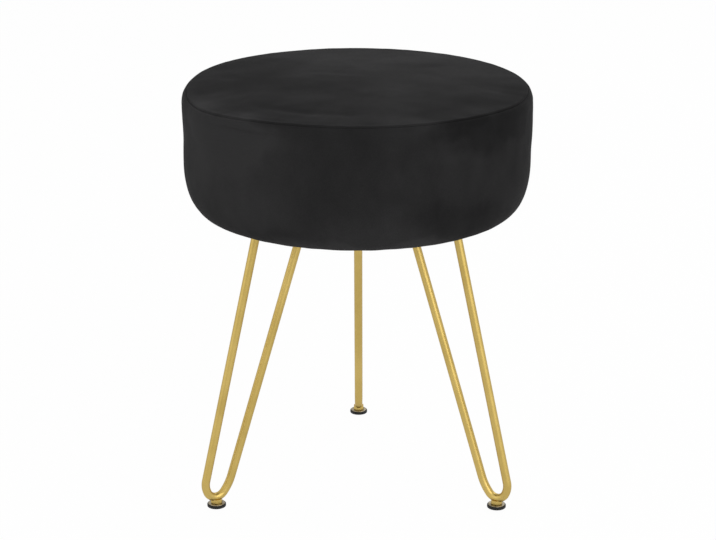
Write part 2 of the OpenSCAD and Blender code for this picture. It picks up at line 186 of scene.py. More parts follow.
class Shader(Nodes):
    """A material under construction, with a Principled shader at its end."""

    def __init__(self, name: str) -> None:
        """Starts an empty material.

        Args:
            name: The material's name.
        """
        self.material = bpy.data.materials.new(name)
        super().__init__(self.material)
        self.surface = self.add("BsdfPrincipled")
        self.join((self.surface, "BSDF"), self.add("OutputMaterial"), "Surface")
        self.place: Output = (self.add("TexCoord"), "Object")

    def constants(self, **values: object) -> None:
        """Sets the Principled shader's sockets, with spaces in names written as underscores."""
        for name, value in values.items():
            self.surface.inputs[name.replace("_", " ")].default_value = value

    def pattern(self, scale: float, detail: float, rough: float,
                stretch: Triple = (1.0, 1.0, 1.0), shift: Triple = (0.0, 0.0, 0.0)) -> Output:
        """Adds soft noise on the object's own coordinates.

        Args:
            scale: Blotches per metre.
            detail: How many finer layers the noise holds.
            rough: How strong the finer layers are.
            stretch: Scale along each axis, to draw the noise out.
            shift: Offset that chooses where the blotches fall.

        Returns:
            The noise, near 0.5 on average.
        """
        mapping = self.add("Mapping", Scale=stretch, Location=shift)
        self.join(self.place, mapping, "Vector")
        texture = self.add("TexNoise", Scale=scale, Detail=detail, Roughness=rough)
        self.join((mapping, "Vector"), texture, "Vector")
        return texture, "Fac"

    def cells(self, scale: float, **inputs: float) -> Output:
        """Adds a pattern of cells on the object's own coordinates.

        Args:
            scale: Cells per metre.
            inputs: Values for the texture's other sockets.

        Returns:
            The distance from the nearest cell's middle.
        """
        texture = self.add("TexVoronoi", Scale=scale, **inputs)
        self.join(self.place, texture, "Vector")
        return texture, "Distance"

    def spread(self, source: Output, low: float, high: float, to_low: float,
               to_high: float) -> Output:
        """Maps a value from one range to another and clamps it there.

        Args:
            source: The value.
            low: Value that becomes to_low.
            high: Value that becomes to_high.
            to_low: Result at the low end.
            to_high: Result at the high end.

        Returns:
            The mapped value.
        """
        node = self.add("MapRange", From_Min=low, From_Max=high, To_Min=to_low, To_Max=to_high)
        self.join(source, node, "Value")
        return node, "Result"

    def wandering(self, scale: float, reach: Triple) -> Output:
        """Shifts the object's own coordinates by soft noise, so that edges drawn on them wander.

        Args:
            scale: Turns of the edge per metre.
            reach: How far a point may be shifted along each axis.

        Returns:
            The shifted coordinates.
        """
        texture = self.add("TexNoise", Scale=scale, Detail=3.0, Roughness=0.55)
        self.join(self.place, texture, "Vector")
        centred = self.add("VectorMath", "SUBTRACT")
        self.join((texture, "Color"), centred, 0)
        centred.inputs[1].default_value = (0.5, 0.5, 0.5)
        shifted = self.add("VectorMath", "MULTIPLY_ADD")
        self.join((centred, "Vector"), shifted, 0)
        shifted.inputs[1].default_value = reach
        self.join(self.place, shifted, 2)
        return shifted, "Vector"

    def patch(self, place: Output, patch: NapAndShadePatch) -> Output:
        """Draws one soft-edged patch of painted light, or painted shade where its tone is
        negative.

        Args:
            place: The coordinates that it is drawn on.
            patch: The patch.

        Returns:
            The patch's tone, 0 outside the patch.
        """
        scale = tuple(1.0 / (half * MM) for half in patch.half)
        shift = tuple(-middle / half for middle, half in zip(patch.middle, patch.half))
        unit = self.add("Mapping", Scale=scale, Location=shift)
        self.join(place, unit, "Vector")
        away = self.add("VectorMath", "LENGTH")
        self.join((unit, "Vector"), away, 0)
        node, output = self.spread((away, "Value"), 0.2, 1.0, patch.tone, 0.0)
        node.interpolation_type = "SMOOTHSTEP"
        return node, output

    def total(self, first: Output, *rest: Output) -> Output:
        """Adds values together.

        Args:
            first: The first value.
            rest: The others.

        Returns:
            Their sum.
        """
        for other in rest:
            first = self.maths("ADD", first, other)
        return first

    def tint(self, tone: Output, dark: Colour, light: Colour) -> None:
        """Colours the surface.

        Args:
            tone: Share of the light colour.
            dark: Colour where the tone is 0.
            light: Colour where the tone is 1.
        """
        node = self.add("MixRGB", Color1=(*dark, 1.0), Color2=(*light, 1.0))
        self.join(tone, node, "Fac")
        self.join((node, "Color"), self.surface, "Base Color")

    def roughen(self, source: Output, low: float, high: float) -> None:
        """Makes the roughness follow some noise, from one value to another."""
        self.join(self.spread(source, 0.3, 0.7, low, high), self.surface, "Roughness")

    def bump(self, height: Output, depth: float, strength: float) -> None:
        """Presses a height pattern into the surface, over any that is there already.

        Args:
            height: The pattern, from 0 to 1.
            depth: Its real depth.
            strength: How much of that depth shows.
        """
        node = self.add("Bump", Distance=depth, Strength=strength)
        self.join(height, node, "Height")
        normal = self.surface.inputs["Normal"]
        if normal.is_linked:
            self.tree.links.new(normal.links[0].from_socket, node.inputs["Normal"])
        self.join((node, "Normal"), self.surface, "Normal")


@dataclass(frozen=True)
class NapAndShadePatch:
    """A soft-edged patch, in millimetres, where light and shade are painted into the velvet's
    colour; partly it stands for pile brushed another way.

    Attributes:
        middle: Where it lies on the seat.
        half: How far it reaches along each axis.
        tone: How much painted light it adds there, or painted shade where negative.
    """

    middle: Triple
    half: Triple
    tone: float


@dataclass(frozen=True)
class VelvetFinish:
    """Black short-pile velvet, with soft patches of painted light and shade in its colour, partly
    for its brushed nap.
    """

    dark: Colour = (0.0078, 0.0077, 0.0079)
    light: Colour = (0.0300, 0.0296, 0.0302)
    base_tone: float = 0.43
    cloud_tone: float = 0.09
    streak_tone: float = 0.07
    grain_tone: float = 0.08
    # Painted light and shade on the band: the left side painted lighter, the right edge and the
    # band under the seam painted darker, partly for brushed nap.
    side_nap_and_shade: tuple[NapAndShadePatch, ...] = (
        NapAndShadePatch((-140, -100, 357), (150, 130, 88), 0.56),
        NapAndShadePatch((130, -100, 340), (120, 120, 90), -0.08),
        NapAndShadePatch((163, -30, 362), (50, 100, 70), -0.32),
        NapAndShadePatch((57, -155, 343), (50, 50, 36), 0.14),
        NapAndShadePatch((120, -100, 381), (110, 90, 26), -0.30),
        NapAndShadePatch((85, -135, 300), (45, 50, 32), -0.20),
        NapAndShadePatch((90, -139, 371), (32, 40, 22), 0.18),
        NapAndShadePatch((-115, -112, 376), (85, 80, 24), 0.42),
        NapAndShadePatch((-120, -113, 372), (60, 55, 34), 0.48),
        NapAndShadePatch((-80, -130, 312), (60, 60, 26), 0.20),
        NapAndShadePatch((-156, -60, 350), (28, 50, 36), -0.40),
        NapAndShadePatch((-150, -70, 385), (30, 45, 20), 0.22),
        NapAndShadePatch((150, -70, 384), (35, 45, 30), -0.34),
        NapAndShadePatch((80, -140, 389), (45, 45, 12), -0.16),
        NapAndShadePatch((115, -105, 292), (45, 45, 28), -0.26),
        NapAndShadePatch((5, -155, 292), (85, 60, 34), 0.26),
        NapAndShadePatch((0, -150, 275), (110, 60, 18), 0.75),
    )
    # Painted shade on the top panel: the whole top painted darker, more so along the front crease,
    # with a little painted light at the back right, partly for brushed nap.
    top_nap_and_shade: tuple[NapAndShadePatch, ...] = (
        NapAndShadePatch((0, 0, 402), (260, 260, 16), -0.15),
        NapAndShadePatch((-95, -45, 400), (120, 110, 16), -0.34),
        NapAndShadePatch((-80, -118, 398), (120, 60, 11), -0.50),
        NapAndShadePatch((-130, -85, 396), (50, 45, 10), -0.30),
        NapAndShadePatch((-96, 68, 401), (72, 58, 16), -0.54),
        NapAndShadePatch((60, 100, 397), (110, 80, 20), 0.10),
        NapAndShadePatch((112, -25, 398), (75, 55, 18), -0.34),
        NapAndShadePatch((88, -124, 395), (55, 30, 14), -0.46),
        NapAndShadePatch((-108, -80, 394), (50, 42, 14), -0.28),
    )
    side_wander: Triple = (55.0 * MM, 55.0 * MM, 55.0 * MM)
    top_wander: Triple = (35.0 * MM, 35.0 * MM, 0.0)
    side_turns_per_m: float = 18.0
    top_turns_per_m: float = 9.0
    blotches_per_m: float = 14.0
    streaks_per_m: float = 42.0
    pile_per_m: float = 1500.0
    streak_depth: float = 0.5 * MM
    pile_depth: float = 0.35 * MM
    rough: Pair = (0.96, 0.84)
    gloss: float = 0.05
    sheen: float = 0.03
    sheen_rough: float = 0.45
    sheen_tint: Colour = (0.62, 0.61, 0.63)

    def make(self) -> bpy.types.Material:
        """Builds the velvet.

        Returns:
            The finished material.
        """
        shader = Shader("velvet_black")
        blotches = shader.pattern(self.blotches_per_m, 2.5, 0.55, shift=(0.31, 0.07, 0.12))
        streaks = shader.pattern(self.streaks_per_m, 3.0, 0.6, stretch=(1.0, 1.0, 0.55))
        pile = shader.pattern(self.pile_per_m, 1.0, 0.5)
        tones = [shader.spread(blotches, 0.3, 0.7, self.base_tone - self.cloud_tone,
                               self.base_tone + self.cloud_tone),
                 shader.spread(streaks, 0.3, 0.7, -self.streak_tone, self.streak_tone),
                 shader.spread(pile, 0.25, 0.75, -self.grain_tone, self.grain_tone)]
        # These patches paint light and shade into the velvet's colour, partly standing for brushed
        # nap.
        for patches, turns_per_m, reach in (
                (self.side_nap_and_shade, self.side_turns_per_m, self.side_wander),
                (self.top_nap_and_shade, self.top_turns_per_m, self.top_wander)):
            place = shader.wandering(turns_per_m, reach)
            tones += [shader.patch(place, patch) for patch in patches]
        shader.tint(shader.total(*tones), self.dark, self.light)
        shader.roughen(blotches, *self.rough)
        shader.constants(Specular_IOR_Level=self.gloss, Sheen_Weight=self.sheen,
                         Sheen_Roughness=self.sheen_rough, Sheen_Tint=(*self.sheen_tint, 1.0))
        shader.bump(streaks, self.streak_depth, 0.10)
        shader.bump(pile, self.pile_depth, 0.35)
        return shader.material


@dataclass(frozen=True)
class GoldFinish:
    """Satin gold coat on steel, slightly uneven, as powder or lacquer over plating is."""

    dark: Colour = (0.455, 0.320, 0.074)
    light: Colour = (0.580, 0.425, 0.122)
    edge: Colour = (0.66, 0.55, 0.32)
    rough: Pair = (0.36, 0.44)
    lacquer: float = 0.6
    lacquer_rough: float = 0.31
    clouds_per_m: float = 26.0
    drawn_per_m: float = 160.0
    peel_per_m: float = 900.0
    peel_depth: float = 0.04 * MM

    def make(self) -> bpy.types.Material:
        """Builds the gold coat.

        Returns:
            The finished material.
        """
        shader = Shader("gold_coat")
        clouds = shader.pattern(self.clouds_per_m, 3.0, 0.55)
        drawn = shader.pattern(self.drawn_per_m, 2.0, 0.6, stretch=(1.0, 1.0, 0.12))
        peel = shader.pattern(self.peel_per_m, 2.0, 0.5)
        tone = shader.total(shader.spread(clouds, 0.3, 0.7, 0.05, 0.75),
                            shader.spread(drawn, 0.3, 0.7, -0.06, 0.10))
        shader.tint(tone, self.dark, self.light)
        shader.roughen(clouds, *self.rough)
        shader.constants(Metallic=1.0, Specular_Tint=(*self.edge, 1.0), Coat_Weight=self.lacquer,
                         Coat_Roughness=self.lacquer_rough)
        shader.bump(peel, self.peel_depth, 0.12)
        return shader.material


@dataclass(frozen=True)
class MetalFinish:
    """Bare or plated metal with a fine grain."""

    name: str
    dark: Colour
    light: Colour
    rough: Pair = (0.25, 0.42)
    clouds_per_m: float = 120.0
    grain_per_m: float = 700.0
    grain_depth: float = 0.04 * MM

    def make(self) -> bpy.types.Material:
        """Builds the metal.

        Returns:
            The finished material.
        """
        shader = Shader(self.name)
        clouds = shader.pattern(self.clouds_per_m, 3.0, 0.6)
        grain = shader.pattern(self.grain_per_m, 2.0, 0.6, stretch=(1.0, 1.0, 0.3))
        shader.tint(shader.spread(clouds, 0.3, 0.7, 0.0, 1.0), self.dark, self.light)
        shader.roughen(grain, *self.rough)
        shader.constants(Metallic=1.0)
        shader.bump(grain, self.grain_depth, 0.25)
        return shader.material


@dataclass(frozen=True)
class PlasticFinish:
    """Black moulded plastic with a fine moulding texture."""

    dark: Colour = (0.0055, 0.0055, 0.0060)
    light: Colour = (0.0125, 0.0125, 0.0130)
    rough: Pair = (0.48, 0.66)
    gloss: float = 0.25
    scuffs_per_m: float = 300.0
    texture_per_m: float = 1800.0
    texture_depth: float = 0.05 * MM

    def make(self) -> bpy.types.Material:
        """Builds the plastic.

        Returns:
            The finished material.
        """
        shader = Shader("black_plastic")
        scuffs = shader.pattern(self.scuffs_per_m, 3.0, 0.6)
        texture = shader.pattern(self.texture_per_m, 1.0, 0.5)
        shader.tint(shader.spread(scuffs, 0.35, 0.7, 0.0, 1.0), self.dark, self.light)
        shader.roughen(scuffs, *self.rough)
        shader.constants(Specular_IOR_Level=self.gloss)
        shader.bump(texture, self.texture_depth, 0.3)
        return shader.material


@dataclass(frozen=True)
class DustClothFinish:
    """Thin black bonded cloth, pressed with a fine pattern of dots."""

    dark: Colour = (0.010, 0.010, 0.010)
    light: Colour = (0.026, 0.026, 0.027)
    rough: float = 0.88
    gloss: float = 0.25
    sheen: float = 0.08
    dots_per_m: float = 650.0
    fibres_per_m: float = 420.0
    dot_depth: float = 0.15 * MM
    fibre_depth: float = 0.2 * MM

    def make(self) -> bpy.types.Material:
        """Builds the cloth.

        Returns:
            The finished material.
        """
        shader = Shader("dust_cloth")
        dots = shader.cells(self.dots_per_m, Randomness=0.15)
        fibres = shader.pattern(self.fibres_per_m, 4.0, 0.7)
        shader.tint(shader.spread(fibres, 0.35, 0.68, 0.0, 1.0), self.dark, self.light)
        shader.constants(Roughness=self.rough, Specular_IOR_Level=self.gloss,
                         Sheen_Weight=self.sheen)
        shader.bump(fibres, self.fibre_depth, 0.25)
        shader.bump(dots, self.dot_depth, 0.45)
        return shader.material


@dataclass(frozen=True)
class FoamFinish:
    """Pale yellow open-cell foam."""

    dark: Colour = (0.62, 0.50, 0.24)
    light: Colour = (0.86, 0.76, 0.46)
    rough: float = 0.95
    gloss: float = 0.2
    cells_per_m: float = 620.0
    clouds_per_m: float = 30.0
    cell_depth: float = 0.6 * MM

    def make(self) -> bpy.types.Material:
        """Builds the foam.

        Returns:
            The finished material.
        """
        shader = Shader("foam")
        cells = shader.cells(self.cells_per_m)
        clouds = shader.pattern(self.clouds_per_m, 3.0, 0.5)
        shader.tint(shader.spread(clouds, 0.3, 0.7, 0.2, 1.0), self.dark, self.light)
        shader.constants(Roughness=self.rough, Specular_IOR_Level=self.gloss)
        shader.bump(cells, self.cell_depth, 0.5)
        return shader.material


@dataclass(frozen=True)
class PlywoodFinish:
    """Raw plywood: grain on its faces and thin layers at its edge."""

    dark: Colour = (0.36, 0.22, 0.10)
    light: Colour = (0.66, 0.48, 0.28)
    rough: float = 0.72
    grain_per_m: float = 34.0
    grain_depth: float = 0.3 * MM
    layer_scale: float = 28.0

    def make(self) -> bpy.types.Material:
        """Builds the plywood.

        Returns:
            The finished material.
        """
        shader = Shader("plywood")
        grain = shader.pattern(self.grain_per_m, 5.0, 0.65, stretch=(0.25, 3.0, 9.0))
        layers = shader.add("TexWave", Scale=self.layer_scale, Distortion=0.4)
        layers.bands_direction = "Z"
        shader.join(shader.place, layers, "Vector")
        tone = shader.total(shader.spread(grain, 0.3, 0.7, 0.2, 0.9),
                            shader.spread((layers, "Fac"), 0.0, 1.0, -0.2, 0.1))
        shader.tint(tone, self.dark, self.light)
        shader.constants(Roughness=self.rough)
        shader.bump(grain, self.grain_depth, 0.3)
        return shader.material


def new_object(name: str, data: bpy.types.ID | Mesh) -> bpy.types.Object:
    """Puts a new object into the scene.

    Args:
        name: The object's name, and its mesh's.
        data: What it shows. A shape still under construction is turned into a mesh and freed.

    Returns:
        The object.
    """
    if isinstance(data, Mesh):
        shape, data = data, bpy.data.meshes.new(name)
        shape.to_mesh(data)
        shape.free()
    made = bpy.data.objects.new(name, data)
    bpy.context.scene.collection.objects.link(made)
    return made


class Workshop:
    """Makes pieces, dresses them, and puts each on its body."""

    def __init__(self, frame: dict) -> None:
        """Takes the loaded frame and builds every finish once.
        """
        self.frame = frame
        self.finishes: dict[Slot, bpy.types.Material] = {
            Slot.VELVET: VelvetFinish().make(),
            Slot.FOAM: FoamFinish().make(),
            Slot.PLYWOOD: PlywoodFinish().make(),
            Slot.DUST_CLOTH: DustClothFinish().make(),
            Slot.GOLD_COAT: GoldFinish().make(),
            Slot.NICKEL: MetalFinish("nickel_plate", (0.23, 0.20, 0.14),
                                     (0.33, 0.29, 0.21)).make(),
            Slot.ZINC: MetalFinish("zinc_plate", (0.42, 0.42, 0.41), (0.62, 0.62, 0.60)).make(),
            Slot.BLACK_STEEL: MetalFinish("black_oxide", (0.035, 0.035, 0.037),
                                          (0.085, 0.085, 0.088), (0.34, 0.52)).make(),
            Slot.BLACK_PLASTIC: PlasticFinish().make(),
        }

    def piece(self, name: str, mesh: Mesh, slot: Slot, *nodes: str, body: str = STOOL,
              smooth_angle: float = 40.0) -> bpy.types.Object:
        """Turns a finished shape into a dressed piece that rides on a body.

        Args:
            name: The piece's name.
            mesh: The shape, which is freed here.
            slot: The material slot that it takes its finish from.
            nodes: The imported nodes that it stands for.
            body: The body that it rides on.
            smooth_angle: Edges that turn by more than this many degrees stay sharp.

        Returns:
            The new object.
        """
        made = new_object(name, mesh)
        made.data.shade_smooth()
        made.data.set_sharp_from_angle(angle=math.radians(smooth_angle))
        made.data.materials.append(self.finishes[slot])
        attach(made, body)
        if nodes:
            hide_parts(*nodes)
        log.info("%s: %d faces on %s", name, len(made.data.polygons), body)
        return made

    def dress(self, node: str, slot: Slot) -> None:
        """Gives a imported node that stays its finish.

        Args:
            node: The node's name.
            slot: The material slot that it takes its finish from.
        """
        kept = self.frame["nodes"][node]
        kept.data.materials.clear()
        kept.data.materials.append(self.finishes[slot])
        log.info("%s: kept, finish %s", node, slot.value)


def turned(profile: list[Point], steps: int) -> Mesh:
    """Spins a profile round the Z axis.

    Args:
        profile: Points as radius and height, in order, closed where the first is repeated.
        steps: How many steps the full turn takes.

    Returns:
        The turned shape, with its normals outwards.
    """
    mesh = bmesh.new()
    verts = [mesh.verts.new((radius, 0.0, height)) for radius, height in profile]
    for pair in zip(verts, verts[1:]):
        mesh.edges.new(pair)
    bmesh.ops.spin(mesh, geom=mesh.verts[:] + mesh.edges[:], steps=steps, **FULL_TURN)
    bmesh.ops.remove_doubles(mesh, verts=mesh.verts, dist=0.001 * MM)
    bmesh.ops.recalc_face_normals(mesh, faces=mesh.faces)
    return mesh


def bend(middle: Point, half: Point, first: float, last: float, steps: int) -> list[Point]:
    """Works out points along an ellipse's arc, between two angles in degrees."""
    angles = [math.radians(first + (last - first) * i / steps) for i in range(steps + 1)]
    return [(middle[0] + half[0] * math.cos(a), middle[1] + half[1] * math.sin(a)) for a in angles]


def polar(spot: Vector) -> Point:
    """Gives a spot's distance from the seat's axis, and its direction in radians."""
    return math.hypot(spot.x, spot.y), math.atan2(spot.y, spot.x)


def ripple(turn: float, per_turn: float, seed: float) -> float:
    """Gives an uneven wave round the seat, about from -1 to 1, with so many waves per turn."""
    reach = per_turn / math.tau
    return 1.6 * noise.noise(Vector((reach * math.cos(turn), reach * math.sin(turn), seed)))


def hump(value: float, middle: float, width: float) -> float:
    """Gives a soft hump that is 1 at its middle and about a third a width away from it."""
    return math.exp(-(((value - middle) / width) ** 2))


def turn_between(one: float, other: float) -> float:
    """Gives the smallest difference of two directions, in degrees."""
    return abs((one - other + 180.0) % 360.0 - 180.0)


def facing(degrees: float, middle: float, width: float) -> float:
    """Gives a soft hump round the seat that is 1 in one direction, in degrees."""
    return hump(turn_between(degrees, middle), 0.0, width)


@dataclass
class Settling:
    """How a sewn cover settles over its filling, found by a cloth simulation.

    The cover is blown out softly from a slightly smaller body while its seam and its stapled
    underside are held. Its cut is uneven, so it settles unevenly. Only that unevenness is kept:
    the mean of each ring round the axis is taken out, because the seat's outline is known.

    Attributes:
        profile: The body's outer section, from the axis at its top to the axis at its bottom.
        seam: Radius and height of the seam.
        board_r: Radius inside which the underside is held.
        voxel: Spacing of the body's even mesh.
        inset: How much smaller the body starts.
        uneven: How much that differs from place to place.
        kept_share: Share of the settling that is kept.
        pressure: How strongly the cover is blown out.
        frames: How many frames the simulation runs.
        cap: The furthest that a point may go.
        seed: Chooses where the unevenness falls.
        spots: Points of the body.
        shifts: How far each point goes.
        tree: Finds the body's points near a place, or nothing if nothing settles.
    """

    profile: list[Point]
    seam: Point
    board_r: float
    voxel: float = 5.0 * MM
    inset: float = 3.0 * MM
    uneven: float = 1.2 * MM
    kept_share: float = 0.32
    pressure: float = 4.0
    frames: int = 20
    cap: float = 0.9 * MM
    seed: float = 7.3
    spots: list[Vector] = field(init=False, default_factory=list)
    shifts: list[Vector] = field(init=False, default_factory=list)
    tree: KDTree | None = field(init=False, default=None)

    def __post_init__(self) -> None:
        self.simulate()
        self.level_out()
        self.tree = KDTree(len(self.spots))
        for number, spot in enumerate(self.spots):
            self.tree.insert(spot, number)
        self.tree.balance()
        furthest = max(shift.length for shift in self.shifts)
        log.info("settling: %d points, up to %.2f mm", len(self.spots), furthest / MM)

    def body(self) -> bpy.types.Object:
        """Makes the body with an even mesh.

        Returns:
            The body, still at its full size.
        """
        body = new_object("settling", turned(self.profile, 96))
        rough = body.data
        even = body.modifiers.new("even_mesh", "REMESH")
        even.mode = "VOXEL"
        even.voxel_size = self.voxel
        seen = body.evaluated_get(bpy.context.evaluated_depsgraph_get())
        body.data = bpy.data.meshes.new_from_object(seen)
        body.modifiers.clear()
        bpy.data.meshes.remove(rough)
        return body

    def held(self, spot: Vector) -> bool:
        """Tells whether the seam or the staples hold a point.

        Args:
            spot: The point.

        Returns:
            Whether it is held.
        """
        radius, _ = polar(spot)
        at_seam = math.hypot(radius - self.seam[0], spot.z - self.seam[1]) < 0.9 * self.voxel
        below = spot.z < self.profile[-1][1] + self.voxel and radius < self.board_r
        return at_seam or below

    def simulate(self) -> None:
        """Blows the cover out and keeps where its points went."""
        body = self.body()
        data = body.data
        self.spots = [vert.co.copy() for vert in data.vertices]
        normals = [vert.normal.copy() for vert in data.vertices]
        pins = body.vertex_groups.new(name="held")
        tight = body.vertex_groups.new(name="tight")
        for vert, spot, normal in zip(data.vertices, self.spots, normals):
            wave = noise.noise(spot * 17.0 + Vector((0.0, 0.0, self.seed)))
            if self.held(spot):
                pins.add([vert.index], 1.0, "REPLACE")
            else:
                vert.co = spot - normal * (self.inset - self.uneven * wave)
            cut = 0.5 + 0.9 * noise.noise(spot * 24.0 + Vector((self.seed, 0.0, 0.0)))
            tight.add([vert.index], min(1.0, max(0.0, cut)), "REPLACE")
        cloth = body.modifiers.new("cloth", "CLOTH")
        rules = cloth.settings
        rules.quality = 5
        rules.mass = 0.15
        rules.use_pressure = True
        rules.uniform_pressure_force = self.pressure
        rules.effector_weights.gravity = 0.0
        rules.vertex_group_mass = pins.name
        rules.vertex_group_shrink = tight.name
        rules.shrink_min = -0.02
        rules.shrink_max = 0.01
        cloth.collision_settings.use_collision = False
        cloth.point_cache.frame_start = 1
        cloth.point_cache.frame_end = self.frames
        scene = bpy.context.scene
        before = scene.frame_current
        for frame in range(1, self.frames + 1):
            scene.frame_set(frame)
        ended = body.evaluated_get(bpy.context.evaluated_depsgraph_get())
        self.shifts = [vert.co - spot for vert, spot in zip(ended.data.vertices, self.spots)]
        bpy.data.objects.remove(body)
        bpy.data.meshes.remove(data)
        scene.frame_set(before)

    def level_out(self) -> None:
        """Takes each ring's mean out of the shifts, and keeps a capped share of what is left."""
        rings: list[list[int]] = [[] for _ in self.profile]
        near = []
        for number, spot in enumerate(self.spots):
            radius, _ = polar(spot)
            away = [math.hypot(radius - r, spot.z - z) for r, z in self.profile]
            near.append(away.index(min(away)))
            rings[near[-1]].append(number)
        outward = [spot.xy.to_3d().normalized() for spot in self.spots]
        means = []
        for ring in range(len(rings)):
            members = [n for other in rings[max(0, ring - 1):ring + 2] for n in other]
            out = sum(self.shifts[n].dot(outward[n]) for n in members)
            up = sum(self.shifts[n].z for n in members)
            means.append((out / max(1, len(members)), up / max(1, len(members))))
        for number, ring in enumerate(near):
            out, up = means[ring]
            left = self.shifts[number] - outward[number] * out - Vector((0.0, 0.0, up))
            left *= self.kept_share
            if left.length > self.cap:
                left *= self.cap / left.length
            self.shifts[number] = left

    def shift(self, spot: Vector) -> Vector:
        """Gives how far the cover has settled at a point.

        Args:
            spot: A point of the cover.

        Returns:
            The shift there.
        """
        total, weight = Vector((0.0, 0.0, 0.0)), 1e-9
        if self.tree is None:
            return total
        for _, number, away in self.tree.find_n(spot, 14):
            share = math.exp(-((away / (1.3 * self.voxel)) ** 2))
            total += self.shifts[number] * share
            weight += share
        return total / weight


@dataclass(frozen=True)
class SeamWander:
    """A stretch of the seam that was sewn a little higher or lower.

    Attributes:
        turn: Direction of its middle, in degrees.
        width: How far it reaches to each side, in degrees.
        lift: How much higher it runs there, or lower where negative.
    """

    turn: float
    width: float
    lift: float


@dataclass
class SeatCover:
    """The sewn velvet cover: a crowned top panel, and a side band turned under the board.

    A pair named faces is the direction in which something shows most and how far it reaches to
    each side, both in degrees. The stitches reach over the top panel first, then over the band.
    """

    shop: Workshop
    wanders: tuple[SeamWander, ...] = (
        SeamWander(203.0, 26.0, -5.0 * MM),
        SeamWander(268.0, 55.0, 1.3 * MM),
        SeamWander(150.0, 34.0, 1.1 * MM),
        SeamWander(90.0, 40.0, 0.5 * MM),
        SeamWander(340.0, 16.0, -1.6 * MM),
    )
    cloth: float = 1.5 * MM
    seam_roll: float = 1.7 * MM
    seam_depth: float = 5.0 * MM
    seam_drop: float = 12.0 * MM
    under_in: float = 19.0 * MM
    under_rise: float = 46.0 * MM
    side_taper: float = 0.6 * MM
    hem_w: float = 16.5 * MM
    allowance: float = 8.0 * MM
    stitch_pull: float = 0.30 * MM
    stitch_waves: float = 105.0
    stitch_reach: Pair = (9.0 * MM, 8.0 * MM)
    stitch_faces: Pair = (238.0, 40.0)
    ridge_high: float = 0.20 * MM
    ridge_w: float = 4.5 * MM
    ridge_faces: Pair = (228.0, 30.0)
    crease_deep: float = 0.9 * MM
    crease_w: float = 6.5 * MM
    crease_faces: Pair = (246.0, 22.0)
    side_crease_deep: float = 1.7 * MM
    side_crease_faces: tuple[Pair, Pair] = ((233.0, 13.0), (20.0, 30.0))
    fold_deep: float = 0.5 * MM
    fold_down: float = 6.0 * MM
    fold_faces: Pair = (254.5, 4.0)
    joint_deep: float = 0.9 * MM
    joint_turn: float = 98.0
    groove_w: float = 1.6 * MM
    gather_high: float = 0.45 * MM
    gather_w: float = 9.0 * MM
    sag_in: float = 34.0 * MM
    sag_down: float = 26.0 * MM
    crown_rings: int = 46
    steps_round: int = 480
    top: tuple[Vector, Vector] = field(init=False)
    band: tuple[Vector, Vector] = field(init=False)
    settling: Settling = field(init=False)

    def __post_init__(self) -> None:
        """Reads the cover's place from the frame, and finds how it settles."""
        self.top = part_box("velvet_top")
        self.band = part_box("velvet_band")
        self.settling = self.settle()

    @property
    def seam_r(self) -> float:
        """Returns the radius of the seam."""
        return self.top[1].x

    @property
    def seam_z(self) -> float:
        """Returns the height at which the top panel and the band meet."""
        return self.band[1].z

    @property
    def board_r(self) -> float:
        """Returns the radius inside which the cover lies flat on the board."""
        return self.band[1].x - self.side_taper - self.under_in

    @property
    def edge_r(self) -> float:
        """Returns the radius at which the crown ends and the rolled edge begins."""
        return self.seam_r - self.seam_roll

    def crown_z(self, radius: float) -> float:
        """Gives the height of the smooth crown at a distance from the seat's axis."""
        crown = self.top[1].z - self.seam_z - self.seam_roll
        return self.seam_z + self.seam_roll + crown * (1.0 - (radius / self.edge_r) ** 2)

    def seam_lift(self, degrees: float) -> float:
        """Gives how far the seam runs above its even course, negative where it runs lower."""
        return sum(w.lift * facing(degrees, w.turn, w.width) for w in self.wanders)

    def top_profile(self) -> list[Point]:
        """Draws the top panel's section, outer face first, then back along its inner face.

        Returns:
            Points as radius and height, closed on the axis.
        """
        edge, count = self.edge_r, self.crown_rings
        rings = [edge * (1.0 - (1.0 - i / count) ** 1.7) for i in range(count)]
        outer = [(r, self.crown_z(r)) for r in rings]
        roll = bend((edge, self.seam_z), (self.seam_roll, self.seam_roll), 90.0, -20.0, 8)
        turned_in = [(edge - self.allowance, self.seam_z + 0.1 * MM)]
        inner = [(r, self.crown_z(r) - self.cloth) for r in reversed(rings[::4])
                 if r < edge - self.allowance - self.cloth]
        return outer + roll + turned_in + inner

    def band_profile(self) -> list[Point]:
        """Draws the side band's section, outer face first, then back along its inner face.

        Returns:
            Points as radius and height, closed at the seam.
        """
        seat_r, under_z = self.band[1].x, self.band[0].z
        tuck = (self.seam_r - self.allowance, self.seam_z - 0.3 * MM)
        top_z = self.seam_z - self.seam_drop
        shoulder = bend((seat_r - self.seam_depth, top_z), (self.seam_depth, self.seam_drop),
                        90.0, 0.0, 14)
        shoulder[0] = (self.seam_r - 0.9 * MM, self.seam_z - 0.9 * MM)
        foot_r, foot_z = seat_r - self.side_taper, under_z + self.under_rise
        side = [(seat_r + (foot_r - seat_r) * i / 12.0, top_z + (foot_z - top_z) * i / 12.0)
                for i in range(1, 12)]
        under = bend((self.board_r, foot_z), (self.under_in, self.under_rise), 0.0, -90.0, 22)
        hem = [(self.board_r - self.hem_w * i / 6.0, under_z) for i in range(1, 7)]
        inner = [(self.board_r - self.hem_w, under_z + self.cloth),
                 (self.board_r, under_z + self.cloth)]
        inner += [(r - self.cloth, z) for r, z in reversed(under[3:20:4])]
        inner += [(seat_r - self.cloth, top_z), (self.seam_r, self.seam_z - 1.9 * MM)]
        inner += [(tuck[0], tuck[1] - self.cloth), tuck]
        return [tuck] + shoulder + side + under + hem + inner

